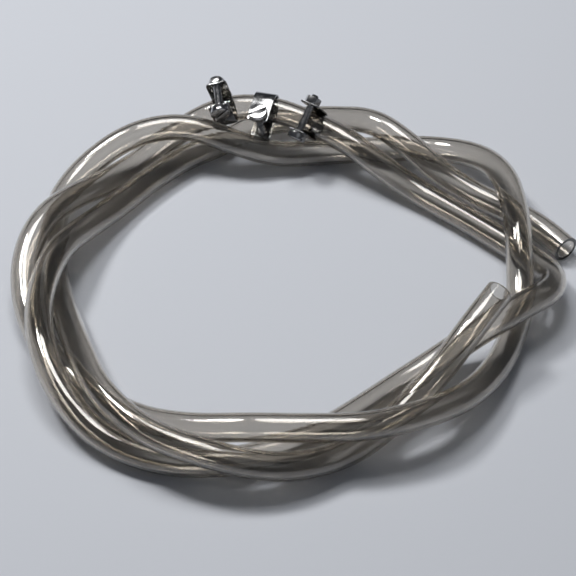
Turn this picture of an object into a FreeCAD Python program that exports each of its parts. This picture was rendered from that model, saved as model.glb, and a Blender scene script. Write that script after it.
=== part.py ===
import FreeCAD, Part
import math
import os

# Clear vinyl hose of an immersion wort chiller: one loose coil of about three
# turns lying flat, with three small U-shaped screw clamps slid on to its far
# side.  Millimetres, +Z up, the origin on the ground inside the ring.

V = FreeCAD.Vector

# hose
HOSE_OD = 12.7
HOSE_ID = 9.525
BEND_FILL = 0.45          # share of the shorter run taken by each bend

# clamp strap, seen along the hose: a U round the hose with two straight legs
STRAP_R = 6.85            # inner radius
STRAP_T = 0.8
STRAP_W = 10.5
LEG_END = 13.0            # from the hose centre line to the free edge
LEG_CORNER = 1.8
HOLE_OUT = 9.8            # from the hose centre line to the screw
HOLE_R = 2.15

# M4 slotted screw and hexagon nut
SCREW_R = 2.0
SEAT = 7.95               # head and nut seats, either side of the hose
SCREW_END = 12.4
HEAD_R = 4.75
HEAD_H = 3.2
SLOT_W = 1.0
SLOT_DEPTH = 1.2
NUT_FLATS = 7.0
NUT_H = 3.2
NUT_BORE_R = 2.05

# centre line of the hose, from the inner free end to the outer free end
ROUTE = [
    # the inner end drops over the tight bend and runs under the second turn
    (88.2, -31.5, 32.1), (77.5, -46.5, 30), (61, -65, 16.5), (43, -82, 7.5), (21, -103, 6.5),
    (-7.5, -116, 12.5), (-37, -114, 19.5), (-66, -101, 20), (-86.5, -77, 20), (-96, -52, 18.5),
    (-103.5, -28, 12), (-110.5, -3, 6.5), (-115, 23, 6.35), (-116, 52, 6.35), (-104, 76.5, 10),
    # over the two lower turns, then along the ground at the far side
    (-81, 90.5, 20), (-54.5, 95, 22), (-28.5, 87.5, 15.5), (-10, 88, 8), (12, 92, 6.35),
    (36.5, 94, 6.35), (64, 95.5, 6.35), (88, 83, 13), (99, 61.5, 19.5), (102, 37.5, 20.5),
    (102, 17.5, 20.5), (102, -3, 10.5), (100, -23, 6.35), (89, -52, 7), (74, -75, 13),
    # the second turn, on top at the front
    (54.5, -91, 19.5), (29, -99.5, 20.5), (3, -100, 20.5), (-21.5, -98, 19), (-46.5, -93, 12.5),
    (-71, -82.5, 6.5), (-93, -65.5, 6.35), (-112, -42.5, 6.35), (-123.5, -17.5, 8.5),
    (-126, 8, 15.5), (-118.5, 30, 20.5), (-105, 49, 17), (-91, 68.5, 8), (-75.5, 87, 6.35),
    # the stretch that carries the clamps
    (-57.5, 105.5, 10), (-36.5, 110, 20), (-15.5, 108.5, 22), (7, 97.5, 21), (25.5, 84.5, 19.5),
    (41.5, 73, 13), (58.5, 61.5, 7), (75.5, 48, 6.35), (93, 32, 6.35), (109, 16, 6.5),
    # the tight bend at the right, over the second turn
    (117.5, 1.5, 10.5), (115, -13.5, 15.5), (101, -27, 20), (80.5, -40.5, 17.5), (61.5, -50.5, 9),
    # the third turn, lowest at the front and on top at the left
    (45.5, -61.5, 6.35), (30.5, -74.5, 6.35), (14, -88, 6.35), (-5, -99.5, 6.35),
    (-31, -107.5, 6.35), (-59.5, -106.5, 6.35), (-86, -93.5, 7.5), (-105, -71, 15),
    (-114.5, -43.5, 20), (-115.5, -15, 20), (-109.5, 10, 20), (-99.5, 32, 11.5), (-86, 53, 6.35),
    (-71, 72.5, 6.35), (-54.5, 88.5, 6.35), (-38, 98, 6.35), (-21.5, 113, 6.35), (-2.5, 117.5, 6.35),
    # over the far side and out to the outer end
    (18.5, 112.5, 11), (37.5, 100, 20.5), (54, 85, 18), (69.5, 72, 10), (86.5, 60, 6.35),
    (104.5, 47.5, 6.35), (118, 34.5, 6.35), (125.8, 22.8, 6.35),
]

# name, number of the route point it sits at, lean of its legs above the level, head side
CLAMPS = [
    ("left", 45, 80.0, -1),
    ("middle", 46, -15.0, 1),
    ("right", 47, 50.0, -1),
]

# bends in each stretch of the hose; a short straight stretch stands at each end
STRETCH_STEP = 6


def bend_at(i):
    """Start, centre, middle, end, axis and radius of the bend at route point i."""
    before, here, after = (V(*ROUTE[k]) for k in (i - 1, i, i + 1))
    a = here - before
    b = after - here
    reach = BEND_FILL * min(a.Length, b.Length)
    turn = a.getAngle(b)
    radius = reach / math.tan(turn / 2)
    a.normalize()
    b.normalize()
    axis = a.cross(b)
    axis.normalize()
    start = here - a * reach
    end = here + b * reach
    centre = start + axis.cross(a) * radius
    out = here - centre
    out.normalize()
    return {
        "start": start,
        "centre": centre,
        "middle": centre + out * radius,
        "end": end,
        "axis": axis,
        "radius": radius,
        "turn": turn,
        "out": out,
    }


BENDS = {i: bend_at(i) for i in range(1, len(ROUTE) - 1)}


def tube_ring(point, direction):
    """The hose's cut face at a point: a flat ring square to the centre line."""
    outer = Part.Wire(Part.makeCircle(HOSE_OD / 2, point, direction))
    inner = Part.Wire(Part.makeCircle(HOSE_ID / 2, point, direction))
    return Part.Face(outer).cut(Part.Face(inner)).Faces[0]


def straight(start, end):
    """A straight length of hose."""
    way = end - start
    return tube_ring(start, way).extrude(way)


def stretch(pieces):
    """Straight lengths and bends, joined end to end into one solid."""
    solid = pieces[0].fuse(pieces[1:]) if len(pieces) > 1 else pieces[0]
    return solid.Solids[0] if len(solid.Solids) == 1 else solid


def hose():
    """All stretches of the hose, meeting face to face."""
    last = len(ROUTE) - 2
    stretches = [straight(V(*ROUTE[0]), BENDS[1]["start"])]
    pieces = []
    length = (BENDS[1]["start"] - V(*ROUTE[0])).Length
    for i in range(1, last + 1):
        bend = BENDS[i]
        ring = tube_ring(bend["start"], bend["start"] - V(*ROUTE[i - 1]))
        pieces.append(ring.revolve(bend["centre"], bend["axis"], math.degrees(bend["turn"])))
        length += bend["radius"] * bend["turn"]
        if i == last:
            break
        after = BENDS[i + 1]["start"]
        length += (after - bend["end"]).Length
        if i % STRETCH_STEP == 0:
            half = (bend["end"] + after) * 0.5
            pieces.append(straight(bend["end"], half))
            stretches.append(stretch(pieces))
            pieces = [straight(half, after)]
        else:
            pieces.append(straight(bend["end"], after))
    stretches.append(stretch(pieces))
    stretches.append(straight(BENDS[last]["end"], V(*ROUTE[-1])))
    length += (V(*ROUTE[-1]) - BENDS[last]["end"]).Length
    return stretches, length


def clamp_frame(i, lean):
    """Where a clamp sits: x along the hose, y towards the legs, z along the screw."""
    bend = BENDS[i]
    along = bend["axis"].cross(bend["out"])
    level = along.cross(V(0, 0, 1))
    level.normalize()
    if level.dot(bend["middle"]) > 0:
        level = level * -1
    up = along.cross(level)
    up.normalize()
    if up.z < 0:
        up = up * -1
    a = math.radians(lean)
    legs = level * math.cos(a) + up * math.sin(a)
    screw = level * -math.sin(a) + up * math.cos(a)
    p = bend["middle"]
    sense = 1 if along.cross(legs).dot(screw) > 0 else -1
    along = along * sense
    matrix = FreeCAD.Matrix(
        along.x, legs.x, screw.x, p.x,
        along.y, legs.y, screw.y, p.y,
        along.z, legs.z, screw.z, p.z,
        0, 0, 0, 1,
    )
    return matrix


def strap():
    """The U-shaped strap, rolled from one strip, with a screw hole in each leg."""
    outer_r = STRAP_R + STRAP_T
    half_w = STRAP_W / 2
    along = V(1, 0, 0)
    outer = Part.makeCylinder(outer_r, STRAP_W, V(-half_w, 0, 0), along)
    outer = outer.fuse(Part.makeBox(STRAP_W, LEG_END, 2 * outer_r, V(-half_w, 0, -outer_r)))
    inner = Part.makeCylinder(STRAP_R, STRAP_W + 2, V(-half_w - 1, 0, 0), along)
    inner = inner.fuse(Part.makeBox(STRAP_W + 2, LEG_END + 2, 2 * STRAP_R, V(-half_w - 1, 0, -STRAP_R)))
    shape = outer.cut(inner)
    # rounded corners on the free ends of the legs
    for side in (-1, 1):
        corner = Part.makeBox(LEG_CORNER, LEG_CORNER, 4 * outer_r,
                              V(side * half_w - (LEG_CORNER if side > 0 else 0),
                                LEG_END - LEG_CORNER, -2 * outer_r))
        centre = V(side * (half_w - LEG_CORNER), LEG_END - LEG_CORNER, -2 * outer_r)
        round_off = Part.makeCylinder(LEG_CORNER, 4 * outer_r, centre, V(0, 0, 1))
        shape = shape.cut(corner.cut(round_off))
    hole = Part.makeCylinder(HOLE_R, 4 * outer_r, V(0, HOLE_OUT, -2 * outer_r), V(0, 0, 1))
    shape = shape.cut(hole).removeSplitter()
    return shape.Solids[0]


def screw(side):
    """Slotted cheese-head screw; side is the side of the strap the head sits on."""
    base = V(0, HOLE_OUT, side * SEAT)
    out = V(0, 0, side)
    head = Part.makeCylinder(HEAD_R, HEAD_H, base, out)
    rim = [e for e in head.Edges if abs(abs(e.CenterOfMass.z) - SEAT - HEAD_H) < 0.01]
    head = head.makeFillet(0.5, rim[:1])
    slot = Part.makeBox(3 * HEAD_R, SLOT_W, 2 * SLOT_DEPTH,
                        V(-1.5 * HEAD_R, HOLE_OUT - SLOT_W / 2,
                          side * (SEAT + HEAD_H) - SLOT_DEPTH))
    slot.rotate(base, V(0, 0, 1), 35)
    shank = Part.makeCylinder(SCREW_R, SEAT + SCREW_END - 0.4, base, out * -1)
    tip = Part.makeCone(SCREW_R, SCREW_R - 0.4, 0.4,
                        V(0, HOLE_OUT, -side * (SCREW_END - 0.4)), out * -1)
    return head.cut(slot).fuse([shank, tip]).removeSplitter().Solids[0]


def nut(side):
    """Hexagon nut on the side away from the head, its corners chamfered."""
    base = V(0, HOLE_OUT, -side * SEAT)
    out = V(0, 0, -side)
    corner_r = NUT_FLATS / math.sqrt(3)
    points = []
    for k in range(7):
        a = math.radians(60 * k)
        points.append(base + V(corner_r * math.cos(a), corner_r * math.sin(a), 0))
    body = Part.Face(Part.makePolygon(points)).extrude(out * NUT_H)
    chamfer = Part.makeCone(corner_r + 1.3, corner_r - 0.25, NUT_H, base, out)
    bore = Part.makeCylinder(NUT_BORE_R, 4 * NUT_H, base - out * NUT_H, out)
    return body.common(chamfer).cut(bore).removeSplitter().Solids[0]


def save(shape, name):
    shape.exportStep("parts/" + name + ".step")


os.makedirs("parts", exist_ok=True)

stretches, hose_length = hose()
save(Part.makeCompound(stretches), "hose")

for name, index, lean, side in CLAMPS:
    matrix = clamp_frame(index, lean)
    for kind, shape in (("strap", strap()), ("screw", screw(side)), ("nut", nut(side))):
        save(shape.transformed(matrix, True), "%s_%s" % (name, kind))
    print(name, "clamp at", tuple(round(q, 2) for q in BENDS[index]["middle"]),
          "bend radius", round(BENDS[index]["radius"], 1))

section = math.pi * ((HOSE_OD / 2) ** 2 - (HOSE_ID / 2) ** 2)
volume = sum(s.Volume for s in stretches)
print("hose length %.1f mm, stretches %d" % (hose_length, len(stretches)))
print("volume %.0f, section x length %.0f" % (volume, section * hose_length))
print("bend radii", " ".join("%d:%.0f" % (i, BENDS[i]["radius"]) for i in sorted(BENDS)))
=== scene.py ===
import math

import bmesh
import bpy
from mathutils import Matrix, Vector
from mathutils.geometry import intersect_point_line


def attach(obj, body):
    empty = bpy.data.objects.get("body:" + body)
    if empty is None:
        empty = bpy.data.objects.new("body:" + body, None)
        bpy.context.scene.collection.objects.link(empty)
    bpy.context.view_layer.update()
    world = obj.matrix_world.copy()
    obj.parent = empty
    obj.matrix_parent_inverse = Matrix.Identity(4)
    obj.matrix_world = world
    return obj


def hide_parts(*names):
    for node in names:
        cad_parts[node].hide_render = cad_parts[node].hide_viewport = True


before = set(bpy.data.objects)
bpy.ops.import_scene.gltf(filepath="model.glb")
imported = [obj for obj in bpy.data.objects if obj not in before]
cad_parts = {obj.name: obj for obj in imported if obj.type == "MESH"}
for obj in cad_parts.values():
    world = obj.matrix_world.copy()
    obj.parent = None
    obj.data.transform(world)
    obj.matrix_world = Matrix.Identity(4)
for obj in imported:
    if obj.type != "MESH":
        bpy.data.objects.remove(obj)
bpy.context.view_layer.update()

# ---------------------------------------------------------------- camera
# Stands above the near side of the coil and looks down at 45 degrees through a
# long lens, so the far side is only a little smaller than the near one.
camera_data = bpy.data.cameras.new("camera")
camera_data.sensor_width = 36.0
camera_data.lens = 118.75
camera_data.clip_end = 20.0
camera = bpy.data.objects.new("camera", camera_data)
bpy.context.scene.collection.objects.link(camera)
CAMERA_REACH = 0.87
CAMERA_RISE = math.radians(45)
aim = Vector((-0.0044, -0.0046, 0.008))
camera.location = aim + CAMERA_REACH * Vector((0.0, -math.cos(CAMERA_RISE), math.sin(CAMERA_RISE)))
camera.rotation_euler = (CAMERA_RISE, 0.0, 0.0)
bpy.context.scene.camera = camera
# plain tone curve, so that highlights on the tube stay bright
bpy.context.scene.view_settings.view_transform = "Standard"

# ---------------------------------------------------------------- hose
# One length of clear soft vinyl tube, 9.5 mm bore and 12.7 mm outside, cut
# square at both ends.  It was drawn off a reel, so it lies in loose turns that
# ride over one another.
HOSE_OUTER = 0.00635
HOSE_BORE = 0.0047625
HOSE_STEPS = 10
HOSE_SIDES = 32
hose_route = [
    # the inner end drops over the tight bend and runs under the second turn
    (0.0882, -0.0315, 0.0321), (0.0775, -0.0465, 0.030), (0.061, -0.065, 0.0165),
    (0.043, -0.082, 0.0075), (0.021, -0.103, 0.0065), (-0.0075, -0.116, 0.0125),
    (-0.037, -0.114, 0.0195), (-0.066, -0.101, 0.020), (-0.0865, -0.077, 0.020),
    (-0.096, -0.052, 0.0185), (-0.1035, -0.028, 0.012), (-0.1105, -0.003, 0.0065),
    (-0.115, 0.023, 0.00635), (-0.116, 0.052, 0.00635), (-0.104, 0.0765, 0.010),
    # over the two lower turns, then along the ground at the far side
    (-0.081, 0.0905, 0.020), (-0.0545, 0.095, 0.022), (-0.0285, 0.0875, 0.0155),
    (-0.010, 0.088, 0.008), (0.012, 0.092, 0.00635), (0.0365, 0.094, 0.00635),
    (0.064, 0.0955, 0.00635), (0.088, 0.083, 0.013), (0.099, 0.0615, 0.0195),
    (0.102, 0.0375, 0.0205), (0.102, 0.0175, 0.0205), (0.102, -0.003, 0.0105),
    (0.100, -0.023, 0.00635), (0.089, -0.052, 0.007), (0.074, -0.075, 0.013),
    # the second turn, on top at the front
    (0.0545, -0.091, 0.0195), (0.029, -0.0995, 0.0205), (0.003, -0.100, 0.0205),
    (-0.0215, -0.098, 0.019), (-0.0465, -0.093, 0.0125), (-0.071, -0.0825, 0.0065),
    (-0.093, -0.0655, 0.00635), (-0.112, -0.0425, 0.00635), (-0.1235, -0.0175, 0.0085),
    (-0.126, 0.008, 0.0155), (-0.1185, 0.030, 0.0205), (-0.105, 0.049, 0.017),
    (-0.091, 0.0685, 0.008), (-0.0755, 0.087, 0.00635),
    # the stretch that carries the clamps
    (-0.0575, 0.1055, 0.010), (-0.0365, 0.110, 0.020), (-0.0155, 0.1085, 0.022),
    (0.007, 0.0975, 0.021), (0.0255, 0.0845, 0.0195), (0.0415, 0.073, 0.013),
    (0.0585, 0.0615, 0.007), (0.0755, 0.048, 0.00635), (0.093, 0.032, 0.00635),
    (0.109, 0.016, 0.0065),
    # the tight bend at the right, over the second turn
    (0.1175, 0.0015, 0.0105), (0.115, -0.0135, 0.0155), (0.101, -0.027, 0.020),
    (0.0805, -0.0405, 0.0175), (0.0615, -0.0505, 0.009),
    # the third turn, lowest at the front and on top at the left
    (0.0455, -0.0615, 0.00635), (0.0305, -0.0745, 0.00635), (0.014, -0.088, 0.00635),
    (-0.005, -0.0995, 0.00635), (-0.031, -0.1075, 0.00635), (-0.0595, -0.1065, 0.00635),
    (-0.086, -0.0935, 0.0075), (-0.105, -0.071, 0.015), (-0.1145, -0.0435, 0.020),
    (-0.1155, -0.015, 0.020), (-0.1095, 0.010, 0.020), (-0.0995, 0.032, 0.0115),
    (-0.086, 0.053, 0.00635), (-0.071, 0.0725, 0.00635), (-0.0545, 0.0885, 0.00635),
    (-0.038, 0.098, 0.00635), (-0.0215, 0.113, 0.00635), (-0.0025, 0.1175, 0.00635),
    # over the far side and out to the outer end
    (0.0185, 0.1125, 0.011), (0.0375, 0.100, 0.0205), (0.054, 0.085, 0.018),
    (0.0695, 0.072, 0.010), (0.0865, 0.060, 0.00635), (0.1045, 0.0475, 0.00635),
    (0.118, 0.0345, 0.00635), (0.1258, 0.0228, 0.00635),
]


def route_line(name, route, steps):
    """The smooth line a route's points steer, as a list of points in the row frame."""
    data = bpy.data.curves.new(name, "CURVE")
    data.dimensions = "3D"
    spline = data.splines.new("NURBS")
    spline.points.add(len(route) - 1)
    for point, place in zip(spline.points, route):
        point.co = (*place, 1.0)
    spline.order_u = 3
    spline.use_endpoint_u = True
    data.resolution_u = steps
    spline.resolution_u = steps
    thing = bpy.data.objects.new(name, data)
    bpy.context.scene.collection.objects.link(thing)
    bpy.context.view_layer.update()
    mesh = bpy.data.meshes.new_from_object(thing)
    line = [v.co.copy() for v in mesh.vertices]
    bpy.data.objects.remove(thing)
    bpy.data.meshes.remove(mesh)
    return line


hose_line = route_line("hose_line", hose_route, HOSE_STEPS)


def tube_mesh(name, line, outer, bore, sides):
    """A hollow tube on a line: outer wall, bore wall and the two cut faces.
    The UV map runs round the tube in u and along it, in metres, in v."""
    count = len(line)
    normal = Vector((0, 0, 1))
    frames = []
    travelled = 0.0
    for i, here in enumerate(line):
        way = (line[min(i + 1, count - 1)] - line[max(i - 1, 0)]).normalized()
        if i:
            travelled += (here - line[i - 1]).length
        normal = (normal - way * normal.dot(way)).normalized()
        frames.append((here, normal.copy(), way.cross(normal), travelled))
    build = bmesh.new()
    uv = build.loops.layers.uv.new("UVMap")
    walls = []
    for radius in (outer, bore):
        rings = []
        for here, across, over, _ in frames:
            ring = []
            for k in range(sides):
                a = math.pi + 2 * math.pi * k / sides
                ring.append(build.verts.new(here + (across * math.cos(a) + over * math.sin(a)) * radius))
            rings.append(ring)
        walls.append(rings)

    def face(corners, marks):
        made = build.faces.new(corners)
        made.smooth = True
        for loop, mark in zip(made.loops, marks):
            loop[uv].uv = mark
        return made

    for wall, rings in enumerate(walls):
        for i in range(count - 1):
            for k in range(sides):
                n = (k + 1) % sides
                corners = [rings[i][k], rings[i][n], rings[i + 1][n], rings[i + 1][k]]
                marks = [(k / sides, frames[i][3]), ((k + 1) / sides, frames[i][3]),
                         ((k + 1) / sides, frames[i + 1][3]), (k / sides, frames[i + 1][3])]
                if wall:
                    corners.reverse()
                    marks.reverse()
                face(corners, marks)
    for i, turn in ((0, False), (count - 1, True)):
        for k in range(sides):
            n = (k + 1) % sides
            corners = [walls[0][i][n], walls[0][i][k], walls[1][i][k], walls[1][i][n]]
            marks = [((k + 1) / sides, 0), (k / sides, 0), (k / sides, 0), ((k + 1) / sides, 0)]
            if turn:
                corners.reverse()
                marks.reverse()
            made = face(corners, marks)
            made.smooth = False
            for edge in made.edges:
                edge.smooth = False
    mesh = bpy.data.meshes.new(name)
    build.to_mesh(mesh)
    build.free()
    thing = bpy.data.objects.new(name, mesh)
    bpy.context.scene.collection.objects.link(thing)
    return thing


vinyl_hose = tube_mesh("vinyl_hose", hose_line, HOSE_OUTER, HOSE_BORE, HOSE_SIDES)


def clear_vinyl():
    """Clear plasticised vinyl: glossy skin, faint extrusion lines and a warm grey tint in its depth."""
    material = bpy.data.materials.new("clear_vinyl")
    material.use_nodes = True
    nodes = material.node_tree.nodes
    links = material.node_tree.links
    shader = nodes["Principled BSDF"]
    shader.inputs["Base Color"].default_value = (1.0, 1.0, 1.0, 1.0)
    shader.inputs["Transmission Weight"].default_value = 1.0
    shader.inputs["IOR"].default_value = 1.5
    shader.inputs["Coat Weight"].default_value = 0.9
    shader.inputs["Coat Roughness"].default_value = 0.05
    uv = nodes.new("ShaderNodeUVMap")
    uv.uv_map = "UVMap"
    # lines drawn by the die: long along the hose, fine round it
    stretch = nodes.new("ShaderNodeMapping")
    stretch.inputs["Scale"].default_value = (26.0, 9.0, 1.0)
    lines = nodes.new("ShaderNodeTexNoise")
    lines.inputs["Scale"].default_value = 1.0
    lines.inputs["Detail"].default_value = 2.0
    links.new(uv.outputs["UV"], stretch.inputs["Vector"])
    links.new(stretch.outputs["Vector"], lines.inputs["Vector"])
    # a handled skin: patches that are a little duller
    place = nodes.new("ShaderNodeTexCoord")
    smears = nodes.new("ShaderNodeTexNoise")
    smears.inputs["Scale"].default_value = 60.0
    smears.inputs["Detail"].default_value = 3.0
    dull = nodes.new("ShaderNodeMapRange")
    dull.inputs["From Min"].default_value = 0.4
    dull.inputs["From Max"].default_value = 0.75
    dull.inputs["To Min"].default_value = 0.03
    dull.inputs["To Max"].default_value = 0.12
    links.new(place.outputs["Object"], smears.inputs["Vector"])
    links.new(smears.outputs["Fac"], dull.inputs["Value"])
    links.new(dull.outputs["Result"], shader.inputs["Roughness"])
    bump = nodes.new("ShaderNodeBump")
    bump.inputs["Strength"].default_value = 0.12
    bump.inputs["Distance"].default_value = 0.0004
    links.new(lines.outputs["Fac"], bump.inputs["Height"])
    links.new(bump.outputs["Normal"], shader.inputs["Normal"])
    tint = nodes.new("ShaderNodeVolumeAbsorption")
    tint.inputs["Color"].default_value = (0.50, 0.41, 0.27, 1.0)
    tint.inputs["Density"].default_value = 240.0
    links.new(tint.outputs["Volume"], nodes["Material Output"].inputs["Volume"])
    return material


vinyl_hose.data.materials.append(clear_vinyl())
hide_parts("hose")
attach(vinyl_hose, "hose")

# ---------------------------------------------------------------- straps
# Three clamp straps, each rolled from one strip of zinc plated steel into a U
# round the hose, with a screw hole punched in each straight leg and the free
# corners rounded off.
STRAP_INSIDE = 0.00685
STRAP_THICK = 0.0008
STRAP_WIDE = 0.0105
LEG_REACH = 0.013
LEG_CORNER = 0.0018
SLIT_EDGE = 0.00014
SCREW_REACH = 0.0098
SCREW_HOLE = 0.00215


def deselect_all():
    for thing in bpy.context.selected_objects:
        thing.select_set(False)
    bpy.context.view_layer.objects.active = None


def start_piece(name, add, **how):
    """A new primitive, the only thing selected, named for its piece."""
    deselect_all()
    add(**how)
    thing = bpy.context.active_object
    thing.name = name
    thing.data.name = name
    bpy.ops.object.transform_apply(location=True, rotation=True, scale=True)
    return thing


def pick(thing, kind, test):
    """Selects the vertices, edges or faces of a piece whose middle passes a test."""
    bpy.ops.object.mode_set(mode="EDIT")
    bpy.ops.mesh.select_mode(type=kind)
    bpy.ops.mesh.select_all(action="DESELECT")
    bpy.ops.object.mode_set(mode="OBJECT")
    corners = thing.data.vertices
    if kind == "VERT":
        for v in corners:
            v.select = bool(test(v.co))
    elif kind == "EDGE":
        for e in thing.data.edges:
            e.select = bool(test((corners[e.vertices[0]].co + corners[e.vertices[1]].co) / 2))
    else:
        for f in thing.data.polygons:
            f.select = bool(test(f.center))
    bpy.ops.object.mode_set(mode="EDIT")


def apply_all(thing):
    bpy.ops.object.mode_set(mode="OBJECT")
    for modifier in list(thing.modifiers):
        bpy.ops.object.modifier_apply(modifier=modifier.name)


def cut_away(thing, tool):
    """Takes the tool's shape out of a piece and removes the tool."""
    deselect_all()
    thing.select_set(True)
    bpy.context.view_layer.objects.active = thing
    cut = thing.modifiers.new("cut", "BOOLEAN")
    cut.operation = "DIFFERENCE"
    cut.solver = "EXACT"
    cut.object = tool
    bpy.ops.object.modifier_apply(modifier="cut")
    bpy.data.objects.remove(tool)


def plated_steel(name, colour, rough_low, rough_high, grain):
    """Plated steel: a bright skin with fine brushed lines and duller handled patches."""
    material = bpy.data.materials.new(name)
    material.use_nodes = True
    nodes = material.node_tree.nodes
    links = material.node_tree.links
    shader = nodes["Principled BSDF"]
    shader.inputs["Metallic"].default_value = 1.0
    place = nodes.new("ShaderNodeTexCoord")
    patches = nodes.new("ShaderNodeTexNoise")
    patches.inputs["Scale"].default_value = 340.0
    patches.inputs["Detail"].default_value = 4.0
    links.new(place.outputs["Object"], patches.inputs["Vector"])
    rough = nodes.new("ShaderNodeMapRange")
    rough.inputs["From Min"].default_value = 0.35
    rough.inputs["From Max"].default_value = 0.7
    rough.inputs["To Min"].default_value = rough_low
    rough.inputs["To Max"].default_value = rough_high
    links.new(patches.outputs["Fac"], rough.inputs["Value"])
    links.new(rough.outputs["Result"], shader.inputs["Roughness"])
    shade = nodes.new("ShaderNodeValToRGB")
    shade.color_ramp.elements[0].position = 0.35
    shade.color_ramp.elements[0].color = (*[c * 0.72 for c in colour], 1.0)
    shade.color_ramp.elements[1].position = 0.65
    shade.color_ramp.elements[1].color = (*colour, 1.0)
    links.new(patches.outputs["Fac"], shade.inputs["Fac"])
    links.new(shade.outputs["Color"], shader.inputs["Base Color"])
    stretch = nodes.new("ShaderNodeMapping")
    stretch.inputs["Scale"].default_value = grain
    lines = nodes.new("ShaderNodeTexNoise")
    lines.inputs["Scale"].default_value = 1.0
    lines.inputs["Detail"].default_value = 3.0
    links.new(place.outputs["Object"], stretch.inputs["Vector"])
    links.new(stretch.outputs["Vector"], lines.inputs["Vector"])
    bump = nodes.new("ShaderNodeBump")
    bump.inputs["Strength"].default_value = 0.18
    bump.inputs["Distance"].default_value = 0.00006
    links.new(lines.outputs["Fac"], bump.inputs["Height"])
    links.new(bump.outputs["Normal"], shader.inputs["Normal"])
    return material


def model_strap():
    """The strap at the origin: the hose along x, the legs towards y, the screw along z."""
    middle = STRAP_INSIDE + STRAP_THICK / 2
    thing = start_piece("strap", bpy.ops.mesh.primitive_plane_add, size=1.0)
    bpy.ops.object.mode_set(mode="EDIT")
    bpy.ops.mesh.select_all(action="SELECT")
    bpy.ops.transform.resize(value=(STRAP_WIDE, LEG_REACH, 1.0))
    bpy.ops.transform.translate(value=(0, LEG_REACH / 2, middle))
    # roll the back of the U round the hose
    pick(thing, "EDGE", lambda c: c.y < 0.0001)
    bpy.ops.mesh.spin(steps=28, angle=math.pi, center=(0, 0, 0), axis=(-1, 0, 0))
    # the second leg
    bpy.ops.object.mode_set(mode="OBJECT")
    pick(thing, "EDGE", lambda c: abs(c.y) < 0.0001 and c.z < 0)
    bpy.ops.mesh.extrude_region_move(TRANSFORM_OT_translate={"value": (0, LEG_REACH, 0)})
    bpy.ops.mesh.select_all(action="SELECT")
    bpy.ops.mesh.remove_doubles(threshold=0.00002)
    bpy.ops.mesh.normals_make_consistent(inside=False)
    # free corners rounded off
    pick(thing, "VERT", lambda c: c.y > LEG_REACH - 0.0001)
    bpy.ops.mesh.bevel(offset=LEG_CORNER, segments=5, affect="VERTICES")
    bpy.ops.object.mode_set(mode="OBJECT")
    wall = thing.modifiers.new("wall", "SOLIDIFY")
    wall.thickness = STRAP_THICK
    wall.offset = 0.0
    apply_all(thing)
    drill = start_piece("drill", bpy.ops.mesh.primitive_cylinder_add, vertices=40, radius=SCREW_HOLE,
                        depth=0.04, location=(0, SCREW_REACH, 0))
    cut_away(thing, drill)
    # slit edges are slightly rounded by the shear and the tumbling
    edge = thing.modifiers.new("edge", "BEVEL")
    edge.width = SLIT_EDGE
    edge.segments = 2
    edge.limit_method = "ANGLE"
    edge.angle_limit = math.radians(50)
    apply_all(thing)
    bpy.ops.object.shade_smooth_by_angle(angle=math.radians(35))
    return thing


def hose_seat(near, lean):
    """The place on the hose nearest a point, turned so that the clamp's legs lean as given.
    The hose's direction there is blended between its two nearest line points."""
    best = None
    for i in range(1, len(hose_line) - 2):
        before, a, b, after = hose_line[i - 1:i + 3]
        _, share = intersect_point_line(near, a, b)
        share = min(max(share, 0.0), 1.0)
        foot = a.lerp(b, share)
        gap = (foot - Vector(near)).length
        if best is None or gap < best[0]:
            best = (gap, foot, (b - before).lerp(after - a, share).normalized())
    _, seat, along = best
    level = along.cross(Vector((0, 0, 1))).normalized()
    if level.dot(seat) > 0:
        level.negate()
    up = along.cross(level).normalized()
    if up.z < 0:
        up.negate()
    tilt = math.radians(lean)
    legs = level * math.cos(tilt) + up * math.sin(tilt)
    screw = level * -math.sin(tilt) + up * math.cos(tilt)
    along = legs.cross(screw)
    return Matrix((
        (along.x, legs.x, screw.x, seat.x),
        (along.y, legs.y, screw.y, seat.y),
        (along.z, legs.z, screw.z, seat.z),
        (0, 0, 0, 1),
    ))


# each clamp: where it sits, the lean of its legs, and the side that its screw head is on
clamps = {
    "left": (hose_seat((-0.0362, 0.1094, 0.0192), 80.0), -1),
    "middle": (hose_seat((-0.0157, 0.1076, 0.0217), -15.0), 1),
    "right": (hose_seat((0.0068, 0.0972, 0.0209), 50.0), -1),
}


def put_copy(pattern, name, place, material, node, body):
    """A copy of a modelled piece, with its own mesh, set at its place on the hose."""
    mesh = pattern.data.copy()
    mesh.name = name
    mesh.transform(place)
    mesh.materials.clear()
    mesh.materials.append(material)
    thing = bpy.data.objects.new(name, mesh)
    bpy.context.scene.collection.objects.link(thing)
    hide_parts(node)
    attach(thing, body)
    return thing


# the strap's base colour is kept darker than plated steel really is: a painted reflection of dark
# surroundings, not the metal's own tone
strip_steel_painted_dark = plated_steel("strip_steel_painted_dark", (0.36, 0.365, 0.375), 0.14, 0.28, (160.0, 2600.0, 160.0))
strap_pattern = model_strap()
for side_name, (seat, head_side) in clamps.items():
    put_copy(strap_pattern, "clamp_strap_" + side_name, seat, strip_steel_painted_dark,
             side_name + "_strap", side_name + "_clamp")
bpy.data.objects.remove(strap_pattern)

# ---------------------------------------------------------------- screws
# M4 cheese-head screws, bright plated, cold headed with a sawn slot and rolled
# thread; each passes through both legs and its head bears on one of them.
HEAD_RADIUS = 0.00475
HEAD_TALL = 0.0032
SEAT_OUT = 0.00795
SCREW_TIP = 0.0124
TIP_TALL = 0.0004
THREAD_PITCH = 0.0007
THREAD_TURNS = 27
THREAD_CREST = 0.00195
THREAD_ROOT = 0.00168
NECK_RADIUS = 0.00172
SLOT_WIDE = 0.001
SLOT_DEEP = 0.0012
SLOT_TURN = math.radians(35)


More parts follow.
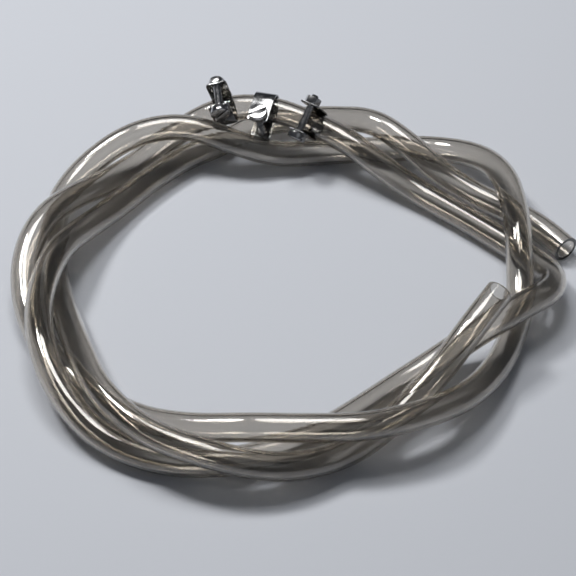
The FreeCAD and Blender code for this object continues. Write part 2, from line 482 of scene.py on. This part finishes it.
def model_screw():
    """The screw at the origin, its axis on z, its head upwards."""
    head = start_piece("screw", bpy.ops.mesh.primitive_cylinder_add, vertices=56, radius=HEAD_RADIUS,
                       depth=HEAD_TALL, location=(0, 0, SEAT_OUT + HEAD_TALL / 2))
    top = SEAT_OUT + HEAD_TALL
    pick(head, "EDGE", lambda c: c.z > top - 0.00001 and Vector((c.x, c.y)).length > 0.004)
    bpy.ops.mesh.bevel(offset=0.0006, segments=4)
    bpy.ops.object.mode_set(mode="OBJECT")
    saw = start_piece("saw", bpy.ops.mesh.primitive_cube_add, size=1.0)
    bpy.ops.object.mode_set(mode="EDIT")
    bpy.ops.mesh.select_all(action="SELECT")
    bpy.ops.transform.resize(value=(0.02, SLOT_WIDE, 2 * SLOT_DEEP))
    bpy.ops.transform.translate(value=(0, 0, top))
    bpy.ops.object.mode_set(mode="OBJECT")
    saw.data.transform(Matrix.Rotation(SLOT_TURN, 4, "Z"))
    cut_away(head, saw)
    burr = head.modifiers.new("burr", "BEVEL")
    burr.width = 0.0001
    burr.segments = 2
    burr.limit_method = "ANGLE"
    burr.angle_limit = math.radians(50)
    apply_all(head)

    # plain neck under the head and the pointed end
    neck = start_piece("neck", bpy.ops.mesh.primitive_cylinder_add, vertices=40, radius=NECK_RADIUS,
                       depth=SEAT_OUT + SCREW_TIP - TIP_TALL,
                       location=(0, 0, (SEAT_OUT - SCREW_TIP + TIP_TALL) / 2))
    pick(neck, "FACE", lambda c: c.z < -SCREW_TIP + 0.0005)
    bpy.ops.mesh.extrude_region_move(TRANSFORM_OT_translate={"value": (0, 0, -TIP_TALL)})
    bpy.ops.transform.resize(value=(0.82, 0.82, 1.0))
    bpy.ops.object.mode_set(mode="OBJECT")

    # one thread ridge, wound down the shank
    thread = start_piece("thread", bpy.ops.mesh.primitive_plane_add, size=1.0)
    bpy.ops.object.mode_set(mode="EDIT")
    bpy.ops.mesh.select_all(action="SELECT")
    bpy.ops.mesh.delete(type="ONLY_FACE")
    bpy.ops.object.mode_set(mode="OBJECT")
    profile = ((THREAD_ROOT, 0.0), (THREAD_CREST, 0.00029), (THREAD_ROOT, 0.00066), (THREAD_CREST, 0.00037))
    for v, (x, z) in zip(thread.data.vertices, profile):
        v.co = (x, 0.0, z - SCREW_TIP + TIP_TALL)
    wind = thread.modifiers.new("wind", "SCREW")
    wind.axis = "Z"
    wind.screw_offset = THREAD_PITCH
    wind.angle = 2 * math.pi
    wind.iterations = THREAD_TURNS
    wind.steps = 28
    wind.render_steps = 28
    wind.use_merge_vertices = False
    apply_all(thread)

    deselect_all()
    for part in (neck, thread, head):
        part.select_set(True)
    bpy.context.view_layer.objects.active = head
    bpy.ops.object.join()
    bpy.ops.object.shade_smooth_by_angle(angle=math.radians(32))
    return head


bright_screw = plated_steel("bright_screw", (0.52, 0.52, 0.53), 0.12, 0.26, (900.0, 900.0, 900.0))
screw_pattern = model_screw()
for side_name, (seat, head_side) in clamps.items():
    way = Matrix.Translation((0, SCREW_REACH, 0))
    if head_side < 0:
        way = way @ Matrix.Rotation(math.pi, 4, "Y")
    put_copy(screw_pattern, "clamp_screw_" + side_name, seat @ way, bright_screw,
             side_name + "_screw", side_name + "_screw")
bpy.data.objects.remove(screw_pattern)

# ---------------------------------------------------------------- nuts
# M4 hexagon nuts, 7 mm across the flats, chamfered on both faces and threaded
# on to the screws beyond the far leg.
NUT_FLATS = 0.007
NUT_TALL = 0.0032
NUT_BORE = 0.00208
NUT_CHAMFER = 0.00042


def model_nut():
    """The nut at the origin, its axis on z, below the strap as the screw's head is above it."""
    corner = NUT_FLATS / math.sqrt(3)
    middle = -SEAT_OUT - NUT_TALL / 2
    nut = start_piece("nut", bpy.ops.mesh.primitive_cylinder_add, vertices=6, radius=corner,
                      depth=NUT_TALL, location=(0, 0, middle))
    nut.data.transform(Matrix.Rotation(math.radians(30), 4, "Z"))
    shaper = start_piece("shaper", bpy.ops.mesh.primitive_cylinder_add, vertices=48, radius=corner - 0.00002,
                         depth=NUT_TALL, location=(0, 0, middle))
    pick(shaper, "EDGE", lambda c: abs(abs(c.z - middle) - NUT_TALL / 2) < 0.00001
         and Vector((c.x, c.y)).length > 0.003)
    bpy.ops.mesh.bevel(offset=NUT_CHAMFER, segments=1)
    bpy.ops.object.mode_set(mode="OBJECT")
    deselect_all()
    nut.select_set(True)
    bpy.context.view_layer.objects.active = nut
    turn_off = nut.modifiers.new("turn_off", "BOOLEAN")
    turn_off.operation = "INTERSECT"
    turn_off.solver = "EXACT"
    turn_off.object = shaper
    bpy.ops.object.modifier_apply(modifier="turn_off")
    bpy.data.objects.remove(shaper)
    tap = start_piece("tap", bpy.ops.mesh.primitive_cylinder_add, vertices=40, radius=NUT_BORE,
                      depth=0.012, location=(0, 0, middle))
    cut_away(nut, tap)
    soft = nut.modifiers.new("soft", "BEVEL")
    soft.width = 0.00012
    soft.segments = 2
    soft.limit_method = "ANGLE"
    soft.angle_limit = math.radians(28)
    apply_all(nut)
    bpy.ops.object.shade_smooth_by_angle(angle=math.radians(25))
    return nut


bright_nut = plated_steel("bright_nut", (0.46, 0.46, 0.47), 0.14, 0.3, (700.0, 700.0, 700.0))
nut_pattern = model_nut()
for side_name, (seat, head_side) in clamps.items():
    way = Matrix.Translation((0, SCREW_REACH, 0))
    if head_side < 0:
        way = way @ Matrix.Rotation(math.pi, 4, "Y")
    put_copy(nut_pattern, "clamp_nut_" + side_name, seat @ way, bright_nut,
             side_name + "_nut", side_name + "_nut")
bpy.data.objects.remove(nut_pattern)

# ---------------------------------------------------------------- floor
# A plain pale table top under the coil, matt, with a faint cool tone.
deselect_all()
bpy.ops.mesh.primitive_plane_add(size=8.0, location=(0, 0, 0))
floor = bpy.context.active_object
floor.name = "floor"
pale = bpy.data.materials.new("pale_floor")
pale.use_nodes = True
pale_shader = pale.node_tree.nodes["Principled BSDF"]
pale_shader.inputs["Base Color"].default_value = (0.66, 0.69, 0.755, 1.0)
pale_shader.inputs["Roughness"].default_value = 0.85
pale_shader.inputs["Specular IOR Level"].default_value = 0.2
floor.data.materials.append(pale)

# ---------------------------------------------------------------- light
# A window light from behind and the left, a broad pale ceiling panel behind
# the coil, a weak light from the front, and an even surround.
for name, place, size, power, colour in (
    ("window", (-0.70, 0.50, 1.3), 0.30, 11.5, (1.0, 0.985, 0.96)),
    ("ceiling", (-0.10, 0.42, 1.35), 0.55, 7.5, (1.0, 0.99, 0.97)),
    ("front", (0.6, -1.2, 1.7), 1.3, 1.2, (0.93, 0.96, 1.0)),
):
    light_data = bpy.data.lights.new(name, "AREA")
    light_data.shape = "SQUARE"
    light_data.size = size
    light_data.energy = power
    light_data.color = colour
    light = bpy.data.objects.new(name, light_data)
    bpy.context.scene.collection.objects.link(light)
    light.location = place
    light.rotation_euler = (Vector((0, 0, 0)) - Vector(place)).to_track_quat("-Z", "Y").to_euler()
world = bpy.data.worlds.new("surround")
world.use_nodes = True
world.node_tree.nodes["Background"].inputs["Color"].default_value = (0.80, 0.86, 0.95, 1.0)
world.node_tree.nodes["Background"].inputs["Strength"].default_value = 0.075
bpy.context.scene.world = world
